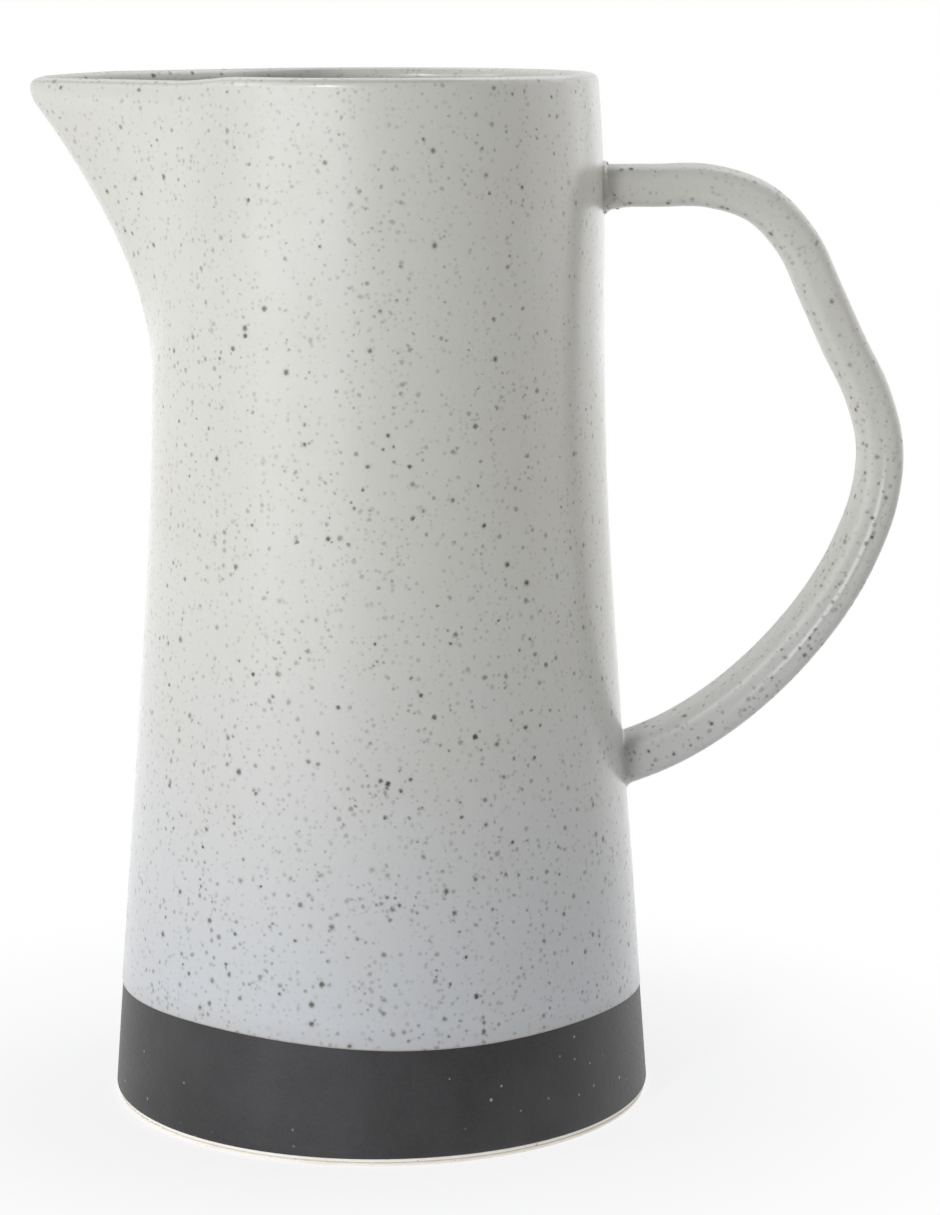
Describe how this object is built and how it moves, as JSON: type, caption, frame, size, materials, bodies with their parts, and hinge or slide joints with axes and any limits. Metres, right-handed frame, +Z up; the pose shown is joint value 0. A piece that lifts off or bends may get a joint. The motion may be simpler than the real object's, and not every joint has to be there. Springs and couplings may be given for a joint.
{
  "type": "porcelain jug",
  "caption": "tall pouring jug with a round tapering wall, a pulled spout, an S-curved strap handle opposite it, a pale speckled glaze and a dark matte band round the base",
  "frame": {"origin": "on the surface that the jug stands on, under the middle of its whole box; the axis of the round body is 21.45 mm towards the spout from it", "axes": "Z is up along the jug's height; X runs from the spout at -X to the handle at +X; Y is across the jug"},
  "size_m": [0.2014, 0.1276, 0.24],
  "materials": {
    "clay": "bare fired clay, cream, matte",
    "joining_slip": "fired joining slip under a thin glaze, satin, with cream bits",
    "speckled_glaze": "satin warm grey-white glaze with fine grey-brown specks",
    "dark_matte_coat": "matte charcoal coat with a fine grain"
  },
  "bodies": {
    "root": {"body": "clay", "handle": "clay", "upper_handle_joint": "joining_slip", "lower_handle_joint": "joining_slip", "outer_glaze": "speckled_glaze", "inner_glaze": "speckled_glaze", "handle_glaze": "speckled_glaze", "base_band": "dark_matte_coat"}
  },
  "joints": []
}
